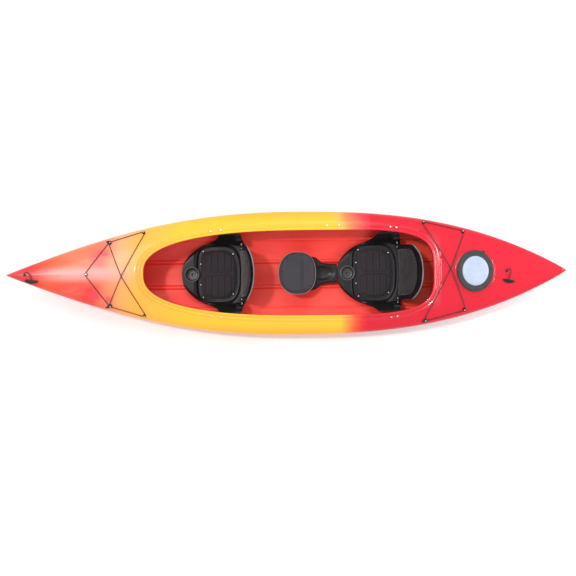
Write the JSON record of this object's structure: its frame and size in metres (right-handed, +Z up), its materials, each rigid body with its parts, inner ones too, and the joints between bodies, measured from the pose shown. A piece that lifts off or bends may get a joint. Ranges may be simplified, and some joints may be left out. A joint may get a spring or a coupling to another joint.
{
  "type": "tandem recreational kayak",
  "caption": "Wide sit-inside kayak for two, with one long open cockpit, folding seats, a removable middle seat, foot braces, stern hatch, deck cords and carry handles.",
  "frame": {"origin": "under the middle of the boat's length and beam, on the flat of the keel that it rests on", "axes": "+X forward to the bow, +Y to port, +Z up"},
  "size_m": [4.11, 0.912, 0.4096],
  "materials": {
    "shell_polyethylene": "rotomoulded, yellow fading to orange and red",
    "foam": "closed-cell foam",
    "rubber": "matt",
    "hatch_panel": "pale moulded insert",
    "shock_cord": "braided sheath",
    "rope": "braided",
    "seat_fabric": "ribbed upholstery over foam",
    "stainless": "satin",
    "aluminium_strap": "plain",
    "black_plastic": "moulded",
    "grey_plastic": "moulded",
    "moulded_black": "blow-moulded"
  },
  "bodies": {
    "hull": {"hull_shell": "shell_polyethylene", "bow_flotation_block": "foam", "stern_bulkhead": "foam", "hatch_ring": "moulded_black", "hatch_gasket": "rubber", "hatch_ring_screws": "stainless", "drain_plug_seat": "moulded_black", "bow_rope_grommet": "black_plastic", "stern_rope_grommet": "black_plastic", "bow_deck_buttons": "black_plastic", "bow_button_screws": "stainless", "bow_bungee": "shock_cord", "stern_deck_buttons": "black_plastic", "stern_button_screws": "stainless", "stern_bungee": "shock_cord", "front_seat_riser": "foam", "front_seat_pan": "moulded_black", "front_seat_pad": "seat_fabric", "front_pad_studs": "grey_plastic", "front_cup_insert": "moulded_black", "front_seat_brackets": "aluminium_strap", "front_bracket_bolts": "stainless", "front_backrest_bolts": "stainless", "front_foot_rail_port": "moulded_black", "front_foot_rail_starboard": "moulded_black", "rear_seat_riser": "foam", "rear_seat_pan": "moulded_black", "rear_seat_pad": "seat_fabric", "rear_pad_studs": "grey_plastic", "rear_cup_insert": "moulded_black", "rear_seat_brackets": "aluminium_strap", "rear_bracket_bolts": "stainless", "rear_backrest_bolts": "stainless", "rear_foot_rail_port": "moulded_black", "rear_foot_rail_starboard": "moulded_black", "foot_rail_bolts": "stainless", "solo_position_bolts": "stainless"},
    "front_backrest": {"front_backrest_frame": "moulded_black", "front_backrest_pad": "seat_fabric"},
    "rear_backrest": {"rear_backrest_frame": "moulded_black", "rear_backrest_pad": "seat_fabric"},
    "hatch_cover": {"hatch_lid": "rubber", "hatch_lid_panel": "hatch_panel"},
    "drain_plug": {"drain_plug": "moulded_black", "drain_plug_washer": "rubber"},
    "bow_handle": {"bow_toggle": "black_plastic", "bow_carry_rope": "rope"},
    "stern_handle": {"stern_toggle": "black_plastic", "stern_carry_rope": "rope"},
    "middle_seat": {"jump_seat_base": "moulded_black", "jump_seat_cushion": "seat_fabric"},
    "front_pedal_port": {"front_foot_pedal_port": "grey_plastic"},
    "front_pedal_starboard": {"front_foot_pedal_starboard": "grey_plastic"},
    "rear_pedal_port": {"rear_foot_pedal_port": "grey_plastic"},
    "rear_pedal_starboard": {"rear_foot_pedal_starboard": "grey_plastic"}
  },
  "joints": [
    {"name": "front_backrest_hinge", "type": "hinge", "parent": "hull", "child": "front_backrest", "pos_m": [0.337, 0, 0.124], "axis": [0, 1, 0], "range_deg": [-26, 98]},
    {"name": "rear_backrest_hinge", "type": "hinge", "parent": "hull", "child": "rear_backrest", "pos_m": [-0.832, 0, 0.124], "axis": [0, 1, 0], "range_deg": [-14, 110]},
    {"name": "hatch_lift", "type": "slide", "parent": "hull", "child": "hatch_cover", "axis": [0, 0, 1], "range_m": [0, 0.3]},
    {"name": "drain_plug_turn", "type": "hinge", "parent": "hull", "child": "drain_plug", "pos_m": [-1.78531, -0.08293, 0.12011], "axis": [-0.359, -0.719, -0.5951], "continuous": true},
    {"name": "bow_handle_swing", "type": "hinge", "parent": "hull", "child": "bow_handle", "pos_m": [1.908, 0, 0.35234], "axis": [1, 0, 0], "range_deg": [0, 70], "deforming": ["bow_carry_rope"]},
    {"name": "stern_handle_swing", "type": "hinge", "parent": "hull", "child": "stern_handle", "pos_m": [-1.612, 0, 0.31819], "axis": [1, 0, 0], "range_deg": [0, 70], "deforming": ["stern_carry_rope"]},
    {"name": "middle_seat_lift", "type": "slide", "parent": "hull", "child": "middle_seat", "axis": [0, 0, 1], "range_m": [0, 0.35]},
    {"name": "front_pedal_slide_port", "type": "slide", "parent": "hull", "child": "front_pedal_port", "axis": [0.9561, -0.2932, 0], "range_m": [-0.1, 0.1]},
    {"name": "front_pedal_slide_starboard", "type": "slide", "parent": "hull", "child": "front_pedal_starboard", "axis": [0.9561, 0.2932, 0], "range_m": [-0.1, 0.1]},
    {"name": "rear_pedal_slide_port", "type": "slide", "parent": "hull", "child": "rear_pedal_port", "axis": [0.9994, -0.0353, 0], "range_m": [-0.1, 0.1]},
    {"name": "rear_pedal_slide_starboard", "type": "slide", "parent": "hull", "child": "rear_pedal_starboard", "axis": [0.9994, 0.0353, 0], "range_m": [-0.1, 0.1]}
  ]
}
